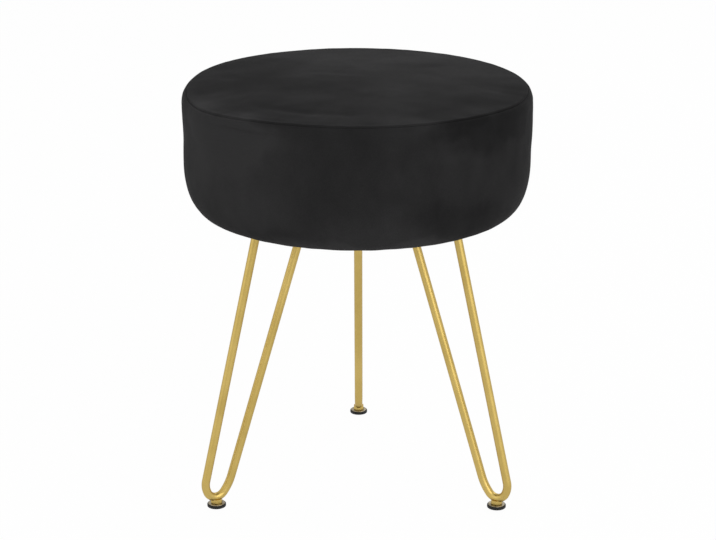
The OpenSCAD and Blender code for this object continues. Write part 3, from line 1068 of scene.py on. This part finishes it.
    def settle(self) -> Settling:
        """Finds how the cover settles over the foam.

        Returns:
            The settling.
        """
        seam, under_z = (self.seam_r, self.seam_z), self.band[0].z
        band = self.band_profile()[2:]
        foot = next(i for i, point in enumerate(band) if point[1] <= under_z + 0.01 * MM)
        outer = self.top_profile()[:self.crown_rings:2] + [seam] + band[:foot + 1]
        outer += [(self.board_r, under_z), (0.0, under_z)]
        return Settling(outer, seam, self.board_r)

    def follow(self, spot: Vector) -> Vector:
        """Gives how far the filling goes with the cover.

        Args:
            spot: A point of the filling.

        Returns:
            Its move.
        """
        radius, turn = polar(spot)
        inward = max(0.0, self.seam_r - radius)
        below = max(0.0, self.seam_z - spot.z)
        lift = self.seam_lift(math.degrees(turn))
        lift *= math.exp(-((inward / self.sag_in) ** 2)) * hump(below, 0.0, self.sag_down)
        return self.settling.shift(spot) + Vector((0.0, 0.0, lift))

    def top_lift(self, spot: Vector) -> float:
        """Gives how far the top panel's surface is lifted from its smooth crown.

        Args:
            spot: A point of the panel.

        Returns:
            The lift.
        """
        radius, turn = polar(spot)
        degrees = math.degrees(turn)
        inward = self.seam_r - radius
        held = min(1.0, inward / (4.0 * MM))
        pull = self.stitch_pull * ripple(turn, self.stitch_waves, 3.0)
        pull = pull * math.exp(-inward / self.stitch_reach[0]) * held
        pull *= 0.5 + 0.8 * facing(degrees, *self.stitch_faces)
        ridge = self.ridge_high * hump(inward, self.allowance + 1.5 * MM, self.ridge_w)
        ridge *= 0.25 + 0.75 * facing(degrees, *self.ridge_faces)
        course = 34.0 * MM + 3.0 * MM * ripple(turn, 6.0, 9.0)
        crease = -self.crease_deep * hump(inward, course, self.crease_w)
        crease *= facing(degrees, *self.crease_faces)
        sag = self.seam_lift(degrees) * math.exp(-((inward / self.sag_in) ** 2))
        return pull + ridge + crease + sag

    def band_push(self, spot: Vector) -> Point:
        """Gives how far the band's surface is pushed from its smooth shape.

        Args:
            spot: A point of the band.

        Returns:
            The push away from the axis, and the push upwards.
        """
        radius, turn = polar(spot)
        degrees = math.degrees(turn)
        below = self.seam_z - spot.z
        held = min(1.0, max(0.0, below) / (5.0 * MM))
        pull = self.stitch_pull * ripple(turn, self.stitch_waves, 21.0)
        pull = pull * math.exp(-below / self.stitch_reach[1]) * held
        pull *= 0.5 + 0.8 * facing(degrees, *self.stitch_faces)
        course = 8.0 * MM + 0.12 * MM * max(-12.0, min(24.0, (degrees % 360.0) - 226.0))
        course += 0.8 * MM * ripple(turn, 9.0, 31.0)
        crease = -self.side_crease_deep * hump(below, course, self.groove_w)
        front, back = self.side_crease_faces
        crease *= facing(degrees, *front) + 0.35 * facing(degrees, *back)
        fold = -self.fold_deep * hump(below, self.fold_down, self.groove_w)
        fold *= facing(degrees, *self.fold_faces)
        beside = turn_between(degrees, self.joint_turn) * math.radians(1.0) * radius
        joint = -self.joint_deep * hump(beside, 0.0, self.groove_w)
        joint *= min(1.0, max(0.0, below) / (3.0 * MM))
        gather = hump(radius, self.board_r - 6.0 * MM, self.gather_w)
        gather *= hump(spot.z - self.band[0].z, 0.0, 5.0 * MM)
        lift = self.gather_high * (1.0 + ripple(turn, 60.0, 41.0)) * gather
        sag = self.seam_lift(degrees) * hump(max(0.0, below), 0.0, self.sag_down)
        return pull + crease + fold + joint * (1.0 - gather), min(lift, 0.9 * MM) + sag

    def build(self) -> None:
        """Makes the top panel and the side band."""
        panel = turned(self.top_profile(), self.steps_round)
        for vert in panel.verts:
            lift = self.top_lift(vert.co)
            vert.co += self.settling.shift(vert.co)
            vert.co.z += lift
        band = turned(self.band_profile(), self.steps_round)
        for vert in band.verts:
            out, up = self.band_push(vert.co)
            radius, _ = polar(vert.co)
            settled = self.settling.shift(vert.co)
            vert.co.x *= 1.0 + out / radius
            vert.co.y *= 1.0 + out / radius
            vert.co.z += up
            vert.co += settled
        for name, shape, node in (("velvet_top_panel", panel, "velvet_top"),
                                  ("velvet_side_band", band, "velvet_band")):
            made = self.shop.piece(name, shape, Slot.VELVET, node, smooth_angle=70.0)


@dataclass
class SeatCore:
    """What the cover holds: the foam cushion and the plywood board with its tee nuts."""

    shop: Workshop
    cover: SeatCover
    slack: float = 0.6 * MM
    crown: float = 6.0 * MM
    shoulder: float = 2.0 * MM
    edge_round: float = 5.0 * MM
    under_rise: float = 44.0 * MM
    under_in: float = 18.0 * MM
    rebate_gap: float = 0.2 * MM
    rebate_rim: float = 2.0 * MM
    longest_edge: float = 12.0 * MM

    def build(self) -> None:
        """Makes the foam and dresses the board and tee nuts."""
        low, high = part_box("foam_cushion")
        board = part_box("base_board")[1]
        half = self.edge_round
        shoulder_z = high.z - self.crown - self.shoulder
        rings = [(high.x - half) * i / 8.0 for i in range(9)]
        top = [(r, high.z - (high.z - shoulder_z) * (r / rings[-1]) ** 2) for r in rings]
        corner = bend((high.x - half, shoulder_z - half), (half, half), 80.0, 0.0, 6)
        under = bend((high.x - self.under_in, low.z + self.under_rise),
                     (self.under_in, self.under_rise), 0.0, -90.0, 10)
        rebate_r = board.x + self.rebate_gap
        rebate = [(rebate_r, low.z), (rebate_r, board.z), (0.0, board.z)]
        shape = turned(top + corner + under + rebate, 240)
        too_long = [edge for edge in shape.edges if edge.calc_length() > self.longest_edge]
        bmesh.ops.subdivide_edges(shape, edges=too_long, cuts=6, use_grid_fill=True)
        shape.normal_update()
        for vert, normal in [(vert, vert.normal.copy()) for vert in shape.verts]:
            if vert.co.z > board.z or polar(vert.co)[0] > board.x + self.rebate_rim:
                vert.co += self.cover.follow(vert.co) - normal * self.slack
        foam = self.shop.piece("foam_core", shape, Slot.FOAM, "foam_cushion")
        self.shop.dress("base_board", Slot.PLYWOOD)
        self.shop.dress("tee_nuts", Slot.ZINC)


@dataclass
class Underside:
    """The dust cover, its staples, and the screws and washers of the leg plates."""

    shop: Workshop
    cloth: float = 0.5 * MM
    step_in: float = 3.0 * MM
    lap: float = 10.0 * MM
    staples: int = 24
    sag_deep: float = 0.35 * MM
    sag_w: float = 18.0 * MM

    def sag(self, spot: Vector, lap_r: float) -> float:
        """Gives how the stretched cloth dips between its staples.

        Args:
            spot: A point of the cloth.
            lap_r: Radius of the cloth's edge.

        Returns:
            The dip, always towards the floor or nothing.
        """
        radius, turn = polar(spot)
        edge = max(0.0, (radius - 0.6 * lap_r) / (0.4 * lap_r))
        scallop = 0.5 - 0.5 * math.cos(self.staples * turn)
        return self.sag_deep * edge * scallop * hump(radius, lap_r, self.sag_w)

    def build(self) -> None:
        """Makes the dust cover and dresses the fasteners."""
        low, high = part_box("dust_cover")
        lap_r = high.x
        step_r = lap_r - self.lap - self.cloth
        flat_r = step_r - self.step_in
        lapped = low.z + self.cloth
        upper = [(0.0, high.z)] + [(flat_r * i / 14.0, high.z) for i in range(1, 15)]
        upper += [(step_r + (lap_r - step_r) * i / 6.0, lapped) for i in range(7)]
        lower = [(r - (0.0 if r in (0.0, lap_r) else self.cloth * 0.5), z - self.cloth)
                 for r, z in reversed(upper)]
        cloth = turned(upper + lower, 288)
        for vert in cloth.verts:
            vert.co.z -= self.sag(vert.co, lap_r)
        made = self.shop.piece("dust_cover_cloth", cloth, Slot.DUST_CLOTH, "dust_cover",
                               smooth_angle=70.0)
        self.shop.dress("cover_staples", Slot.ZINC)
        self.shop.dress("spring_washers", Slot.BLACK_STEEL)
        self.shop.dress("plate_screws", Slot.BLACK_STEEL)


class Sweep:
    """A round rod under construction, with a ring of edges at its growing end."""

    def __init__(self, start: Vector, along: Vector, radius: float, sides: int) -> None:
        """Starts the rod with its first end face.

        Args:
            start: The middle of that face.
            along: The direction that the rod sets out in.
            radius: The rod's radius.
            sides: How many sides stand for its roundness.
        """
        self.mesh = bmesh.new()
        place = Matrix.Translation(start) @ along.to_track_quat("Z", "Y").to_matrix().to_4x4()
        bmesh.ops.create_circle(self.mesh, cap_ends=True, segments=sides, radius=radius,
                                matrix=place)
        self.lid = self.mesh.faces[:]
        self.ring = self.mesh.edges[:]

    def arc(self, middle: Vector, angle: float, steps: int) -> None:
        """Carries the ring round an arc in the leg's plane.

        Args:
            middle: The arc's middle.
            angle: The arc's angle, in radians.
            steps: How many steps the arc takes.
        """
        corners = list({vert for edge in self.ring for vert in edge.verts})
        spun = bmesh.ops.spin(self.mesh, geom=self.ring + corners, cent=middle,
                              axis=(0.0, 1.0, 0.0), angle=angle, steps=steps,
                              use_merge=False, use_duplicate=False)["geom_last"]
        self.ring = [item for item in spun if isinstance(item, bmesh.types.BMEdge)]

    def run(self, step: Vector, pieces: int) -> None:
        """Carries the ring along a straight run.

        Args:
            step: The whole run, as a vector.
            pieces: How many lengths the run is made of.
        """
        for _ in range(pieces):
            pulled = bmesh.ops.extrude_edge_only(self.mesh, edges=self.ring)["geom"]
            moved = [item for item in pulled if isinstance(item, bmesh.types.BMVert)]
            bmesh.ops.translate(self.mesh, vec=step / pieces, verts=moved)
            self.ring = [item for item in pulled if isinstance(item, bmesh.types.BMEdge)
                         and all(vert in moved for vert in item.verts)]

    def close(self) -> Mesh:
        """Caps the rod.

        Returns:
            The closed shape, with its normals outwards.
        """
        bmesh.ops.contextual_create(self.mesh, geom=self.ring)
        bmesh.ops.reverse_faces(self.mesh, faces=self.lid)
        bmesh.ops.recalc_face_normals(self.mesh, faces=self.mesh.faces)
        return self.mesh


@dataclass(frozen=True)
class RodHalf:
    """One half of a bent rod, in the leg's plane with X outwards and Z up.

    Attributes:
        end: Where the rod meets the plate.
        touch: Where its straight run touches the easing arc.
        middle: The middle of the easing arc.
        sweep: The angle of that arc, in radians.
        link_end: Where the arc meets the short straight link.
        bend_end: Where the link meets the tight bend.
    """

    end: Vector
    touch: Vector
    middle: Vector
    sweep: float
    link_end: Vector
    bend_end: Vector


@dataclass
class LegPart:
    """What stands at one leg.

    Attributes:
        shop: Makes the pieces.
        side: Which leg it is.
    """

    shop: Workshop
    side: Side

    def named(self, part: str) -> str:
        """Returns the name of a part of this leg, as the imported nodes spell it."""
        return f"{self.side.name.lower()}_{part}"

    def box(self, part: str) -> tuple[Vector, Vector]:
        """Returns the two corners of a part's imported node."""
        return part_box(self.named(part))

    @property
    def foot(self) -> Vector:
        """Returns the middle of the foot, on the floor."""
        low, high = self.box("foot_base")
        return Vector(((low.x + high.x) / 2.0, (low.y + high.y) / 2.0, 0.0))


@dataclass
class HairpinLeg(LegPart):
    """One leg: a bent rod, the plate that it is welded to, and the nut under its bend.

    The pairs of sizes hold the outer half of the rod first, then the inner one.
    """

    rod_r: float = 4.0 * MM
    bend_r: float = 10.0 * MM
    bend_turns: Pair = (69.0, 52.0)
    ease_r: Pair = (18.0 * MM, 48.0 * MM)
    rod_sides: int = 40
    link: float = 1.2 * MM
    spread: float = 50.0 * MM
    nut_flats: float = 10.0 * MM
    nut_bore: float = 3.05 * MM
    nut_chamfer: float = 0.45 * MM
    plate_bevel: float = 0.35 * MM
    weld_r: float = 1.5 * MM
    weld_out: float = 0.5 * MM
    weld_swell: float = 0.10

    def plate_out(self) -> float:
        """Gives how far the plate's middle is from the seat's axis.

        Returns:
            The distance.
        """
        verts = self.shop.frame["nodes"][self.named("leg_plate")].data.vertices
        along = [vert.co.dot(self.side.outward) for vert in verts]
        return (min(along) + max(along)) / 2.0

    def bend_middle(self) -> Vector:
        """Gives the middle of the tight bend, in the leg's plane with X outwards and Z up."""
        under = self.box("leg_rod")[0].z
        return Vector((self.foot.length, 0.0, under + self.rod_r + self.bend_r))

    def half(self, way: int) -> RodHalf:
        """Works out one half of the rod, from its end at the plate to the tight bend.

        Args:
            way: 0 for the outer half, 1 for the inner one.

        Returns:
            The points of the half.
        """
        sign = 1.0 - 2.0 * way
        ease_r = self.ease_r[way]
        end = Vector((self.plate_out() + sign * self.spread / 2.0, 0.0,
                      self.box("leg_plate")[0].z))
        passing = math.radians(-90.0 + sign * self.bend_turns[way])
        out = Vector((math.cos(passing), 0.0, math.sin(passing)))
        bend_end = self.bend_middle() + self.bend_r * out
        link_end = bend_end + sign * self.link * Vector((-out.z, 0.0, out.x))
        middle = link_end - ease_r * out
        span = end - middle
        touching = math.atan2(span.z, span.x) - sign * math.acos(ease_r / span.length)
        touch = middle + ease_r * Vector((math.cos(touching), 0.0, math.sin(touching)))
        sweep = (sign * (touching - passing)) % math.tau
        return RodHalf(end, touch, middle, sweep, link_end, bend_end)

    def rod(self) -> None:
        """Sweeps the rod: down the outer half, round the tight bend and up the inner half."""
        outer, inner = self.half(0), self.half(1)
        down = outer.touch - outer.end
        sweep = Sweep(outer.end, down.normalized(), self.rod_r, self.rod_sides)
        sweep.run(down, 6)
        sweep.arc(outer.middle, outer.sweep, 12)
        sweep.run(outer.bend_end - outer.link_end, 1)
        sweep.arc(self.bend_middle(), math.radians(sum(self.bend_turns)), 32)
        sweep.run(inner.link_end - inner.bend_end, 1)
        sweep.arc(inner.middle, inner.sweep, 10)
        sweep.run(inner.end - inner.touch, 6)
        mesh = sweep.close()
        bmesh.ops.transform(mesh, matrix=self.side.turn, verts=mesh.verts)
        self.shop.piece(self.named("hairpin_rod"), mesh, Slot.GOLD_COAT, self.named("leg_rod"),
                        smooth_angle=50.0)

    def welds(self) -> None:
        """Makes the weld beads round the rod's two ends at the plate, as one piece."""
        mesh = bmesh.new()
        start = Matrix.Translation((self.rod_r + self.weld_out, 0.0, 0.0))
        for way in (0, 1):
            end, touch = self.half(way).end, self.half(way).touch
            before = set(mesh.verts)
            made = bmesh.ops.create_circle(mesh, segments=10, radius=self.weld_r,
                                           matrix=start @ Matrix.Rotation(math.pi / 2.0, 4, "X"))
            edges = list({edge for vert in made["verts"] for edge in vert.link_edges})
            bmesh.ops.spin(mesh, geom=made["verts"] + edges, steps=48, **FULL_TURN)
            lean = (touch.x - end.x) / (end.z - touch.z)
            for vert in set(mesh.verts) - before:
                _, turn = polar(vert.co)
                swell = 1.0 + self.weld_swell * ripple(turn, 14.0, 3.0 * way + self.side.value)
                vert.co.z = min(vert.co.z * 0.8, -0.02 * MM) * swell
                vert.co.x += end.x - lean * vert.co.z
                vert.co.z += end.z
        bmesh.ops.remove_doubles(mesh, verts=mesh.verts, dist=0.005 * MM)
        bmesh.ops.recalc_face_normals(mesh, faces=mesh.faces)
        bmesh.ops.transform(mesh, matrix=self.side.turn, verts=mesh.verts)
        self.shop.piece(self.named("weld_beads"), mesh, Slot.GOLD_COAT, smooth_angle=60.0)

    def plate(self) -> None:
        """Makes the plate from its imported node, with its cut edges slightly broken."""
        node = self.named("leg_plate")
        mesh = bmesh.new()
        mesh.from_mesh(self.shop.frame["nodes"][node].data)
        bmesh.ops.remove_doubles(mesh, verts=mesh.verts, dist=0.002 * MM)
        bmesh.ops.dissolve_limit(mesh, angle_limit=math.radians(1.0), verts=mesh.verts,
                                 edges=mesh.edges)
        sharp = [edge for edge in mesh.edges if len(edge.link_faces) == 2
                 and edge.calc_face_angle() > math.radians(50.0)]
        bmesh.ops.bevel(mesh, geom=sharp, offset=self.plate_bevel, offset_type="OFFSET",
                        segments=2, profile=0.5, affect="EDGES", material=-1,
                        clamp_overlap=True)
        self.shop.piece(self.named("mounting_plate"), mesh, Slot.GOLD_COAT, node)

    def nut(self) -> None:
        """Makes the hexagon nut: six flats with chamfered ends, bored through.

        It is turned with an outer radius of 1 m less the chamfer, which marks how far in each
        ring lies, and then drawn in to the hexagon.
        """
        low, high = self.box("weld_nut")
        bore, chamfer = self.nut_bore, self.nut_chamfer
        mesh = turned([(bore, low.z), (1.0 - chamfer, low.z), (1.0, low.z + chamfer * 0.6),
                       (1.0, high.z - chamfer * 0.6), (1.0 - chamfer, high.z), (bore, high.z),
                       (bore, low.z)], 48)
        flat = self.nut_flats / 2.0
        twelfth = math.pi / 6.0
        for vert in mesh.verts:
            radius, turn = polar(vert.co)
            if radius < 0.5:
                continue
            corner = flat / math.cos((turn + twelfth) % (2.0 * twelfth) - twelfth)
            cut = 1.0 - radius
            reach = min(corner, flat / math.cos(twelfth) - cut) if cut > 0.0 else corner
            vert.co.x *= reach / radius
            vert.co.y *= reach / radius
        bmesh.ops.rotate(mesh, cent=(0.0, 0.0, 0.0), verts=mesh.verts,
                         matrix=Matrix.Rotation(math.radians(30.0), 3, "Z"))
        bmesh.ops.transform(mesh, matrix=Matrix.Translation(self.foot) @ self.side.turn,
                            verts=mesh.verts)
        self.shop.piece(self.named("hexagon_nut"), mesh, Slot.GOLD_COAT, self.named("weld_nut"),
                        smooth_angle=25.0)

    def build(self) -> None:
        """Makes every piece of the leg."""
        self.rod()
        self.welds()
        self.plate()
        self.nut()


@dataclass
class LevellingFoot(LegPart):
    """One foot: a plastic base, and a threaded stud with a metal disc that turns in it."""

    stud_r: float = 3.0 * MM
    pitch: float = 1.0 * MM
    thread_deep: float = 0.45 * MM
    thread_sunk: float = 0.05 * MM
    crest: float = 0.06 * MM
    neck_slope: float = 0.2 * MM
    tip: float = 0.3 * MM
    flange_h: float = 0.8 * MM
    base_edge: float = 0.6 * MM
    base_foot: float = 0.4 * MM
    mouth_r: float = 3.25 * MM
    pocket_r: float = 4.25 * MM
    pocket_floor: float = 0.9 * MM
    pocket_top: float = 1.9 * MM
    disc_edge: float = 0.55 * MM
    dish_r: Pair = (5.6 * MM, 4.9 * MM)
    dish_deep: Pair = (0.2 * MM, 0.25 * MM)

    def put(self, part: str, mesh: Mesh, slot: Slot, body: str) -> None:
        """Moves a turned shape to the foot and makes a piece of it.

        Args:
            part: What it is: base, disc or stud.
            mesh: The shape, turned about the origin.
            slot: Its material slot.
            body: The body that it rides on, without the side.
        """
        bmesh.ops.transform(mesh, matrix=Matrix.Translation(self.foot), verts=mesh.verts)
        self.shop.piece(self.named(f"glide_{part}"), mesh, slot, self.named(f"foot_{part}"),
                        body=self.named(body), smooth_angle=35.0)

    def base(self) -> None:
        """Makes the plastic base, with the pocket that holds the stud's flange."""
        low, high = self.box("foot_base")
        radius = (high.x - low.x) / 2.0
        edge, small = self.base_edge, self.base_foot
        profile = [(0.0, 0.0), (radius - small, 0.0)]
        profile += bend((radius - small, small), (small, small), -60.0, 0.0, 3)
        profile += bend((radius - edge, high.z - edge), (edge, edge), 0.0, 90.0, 6)
        profile += [(self.mouth_r, high.z), (self.mouth_r, self.pocket_top),
                    (self.pocket_r, self.pocket_top), (self.pocket_r, self.pocket_floor),
                    (0.0, self.pocket_floor)]
        self.put("base", turned(profile, 72), Slot.BLACK_PLASTIC, "foot")

    def disc(self) -> None:
        """Makes the pressed metal disc, slightly dished round the stud."""
        low, high = self.box("foot_disc")
        radius = (high.x - low.x) / 2.0
        edge = self.disc_edge
        profile = [(self.stud_r, low.z), (radius - 0.3 * MM, low.z), (radius, low.z + 0.3 * MM)]
        profile += bend((radius - edge, high.z - edge), (edge, edge), 10.0, 90.0, 6)
        profile += [(self.dish_r[0], high.z), (self.dish_r[1], high.z - self.dish_deep[0]),
                    (self.stud_r, high.z - self.dish_deep[1]), (self.stud_r, low.z)]
        self.put("disc", turned(profile, 72), Slot.NICKEL, "foot_screw")

    def stud(self) -> None:
        """Makes the stud: its flange, its neck, and its thread as one helical sweep."""
        low, high = self.box("foot_stud")
        flange = (high.x - low.x) / 2.0
        root = self.stud_r - self.thread_deep
        flange_top = low.z + self.flange_h
        neck_z = self.box("foot_disc")[1].z
        mesh = turned([(0.0, low.z), (flange, low.z), (flange, flange_top),
                       (self.stud_r, flange_top), (self.stud_r, neck_z),
                       (root, neck_z + self.neck_slope), (root, high.z - self.tip),
                       (root - self.tip, high.z), (0.0, high.z)], 48)
        steps = 24
        turns = max(1, round((high.z - neck_z - 1.2 * MM) / self.pitch))
        half = self.pitch * 0.46
        base_z = neck_z + 0.6 * MM
        inner = root - self.thread_sunk
        section = [(inner, base_z - half), (self.stud_r, base_z - self.crest),
                   (self.stud_r, base_z + self.crest), (inner, base_z + half)]
        ridge = [mesh.verts.new((radius, 0.0, height)) for radius, height in section]
        loop = [mesh.edges.new(pair) for pair in zip(ridge, ridge[1:] + ridge[:1])]
        first = mesh.faces.new(ridge)
        bmesh.ops.spin(mesh, geom=ridge + loop + [first], cent=(0.0, 0.0, 0.0),
                       axis=(0.0, 0.0, 1.0), dvec=(0.0, 0.0, self.pitch / steps),
                       angle=math.tau * turns, steps=steps * turns, use_merge=False,
                       use_duplicate=False)
        bmesh.ops.recalc_face_normals(mesh, faces=mesh.faces)
        self.put("stud", mesh, Slot.ZINC, "foot_screw")

    def build(self) -> None:
        """Makes every piece of the foot."""
        self.base()
        self.disc()
        self.stud()


@dataclass
class Studio:
    """A white floor, soft lamps and the camera at the photograph's viewing angle.

    The floor lies one foot's travel lower than the feet at rest, so that it never hides a foot
    that is screwed out.
    """

    floor_size: float = 14.0
    floor_z: float = -4.1 * MM
    floor_grey: float = 0.90
    floor_glow: float = 0.975
    ambient: float = 0.50
    camera_place: Triple = (0.0180, -1.7981, 0.8225)
    camera_tilt: float = 71.253
    camera_turn: float = 0.55
    lens: float = 99.52
    aim: Triple = (0.0, 0.0, 0.25)

    def floor(self) -> None:
        """Lays the floor, which looks white and keeps a soft shadow."""
        mesh = bmesh.new()
        bmesh.ops.create_grid(mesh, x_segments=4, y_segments=4, size=self.floor_size / 2.0,
                              matrix=Matrix.Translation((0.0, 0.0, self.floor_z)))
        floor = new_object("studio_floor", mesh)
        material = bpy.data.materials.new("studio_floor")
        nodes = Nodes(material)
        grey = self.floor_grey
        paint = nodes.add("BsdfDiffuse", Color=(grey, grey, grey, 1.0))
        glow = nodes.add("Emission", Color=WHITE, Strength=1.0)
        share = nodes.add("Math", "MULTIPLY")
        share.inputs[1].default_value = self.floor_glow
        nodes.join(nodes.direct_rays(), share, 0)
        mix = nodes.add("MixShader")
        nodes.join((share, 0), mix, "Fac")
        nodes.join((paint, "BSDF"), mix, 1)
        nodes.join((glow, "Emission"), mix, 2)
        nodes.join((mix, "Shader"), nodes.add("OutputMaterial"), "Surface")
        floor.data.materials.append(material)

    def world(self) -> None:
        """Lights the surroundings: white where they are seen, softer where they only light."""
        world = bpy.data.worlds.new("studio_world")
        bpy.context.scene.world = world
        nodes = Nodes(world)
        glow = nodes.add("Background", Color=WHITE)
        strength = nodes.add("MapRange", To_Min=self.ambient, To_Max=1.0)
        nodes.join(nodes.direct_rays(), strength, "Value")
        nodes.join((strength, "Result"), glow, "Strength")
        nodes.join((glow, "Background"), nodes.add("OutputWorld"), "Surface")

    def lamp(self, name: str, place: Triple, width: float, power: float) -> None:
        """Hangs a square softbox that faces the stool.

        Args:
            name: The lamp's name.
            place: Where its middle hangs.
            width: The length of its sides.
            power: Its power in watts.
        """
        light = bpy.data.lights.new(name, "AREA")
        light.shape = "RECTANGLE"
        light.size = light.size_y = width
        light.energy = power
        turn = (Vector(self.aim) - Vector(place)).to_track_quat("-Z", "Y")
        lamp = new_object(name, light)
        lamp.matrix_world = Matrix.Translation(place) @ turn.to_matrix().to_4x4()

    def camera(self) -> None:
        """Sets up the camera."""
        data = bpy.data.cameras.new("studio_camera")
        data.lens = self.lens
        data.sensor_width = 36.0
        camera = new_object("studio_camera", data)
        camera.location = self.camera_place
        camera.rotation_euler = (math.radians(self.camera_tilt), 0.0,
                                 math.radians(self.camera_turn))
        bpy.context.scene.camera = camera

    def build(self) -> None:
        """Sets the whole studio up."""
        bpy.context.scene.view_settings.view_transform = "Standard"
        self.camera()
        self.floor()
        self.world()
        self.lamp("key_lamp", (1.3, -1.6, 1.3), 2.3, 30.0)
        self.lamp("fill_lamp", (-1.9, -0.9, 1.2), 2.2, 10.0)
        self.lamp("back_lamp", (0.9, 1.6, 1.8), 1.8, 11.0)


def main() -> None:
    """Builds the stool around its frame, in order."""
    logging.basicConfig(level=logging.INFO, format="%(name)s: %(message)s")
    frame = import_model()
    shop = Workshop(frame)
    Studio().build()
    cover = SeatCover(shop)
    cover.build()
    SeatCore(shop, cover).build()
    Underside(shop).build()
    for side in Side:
        HairpinLeg(shop, side).build()
        LevellingFoot(shop, side).build()


if __name__ == "__main__":
    main()
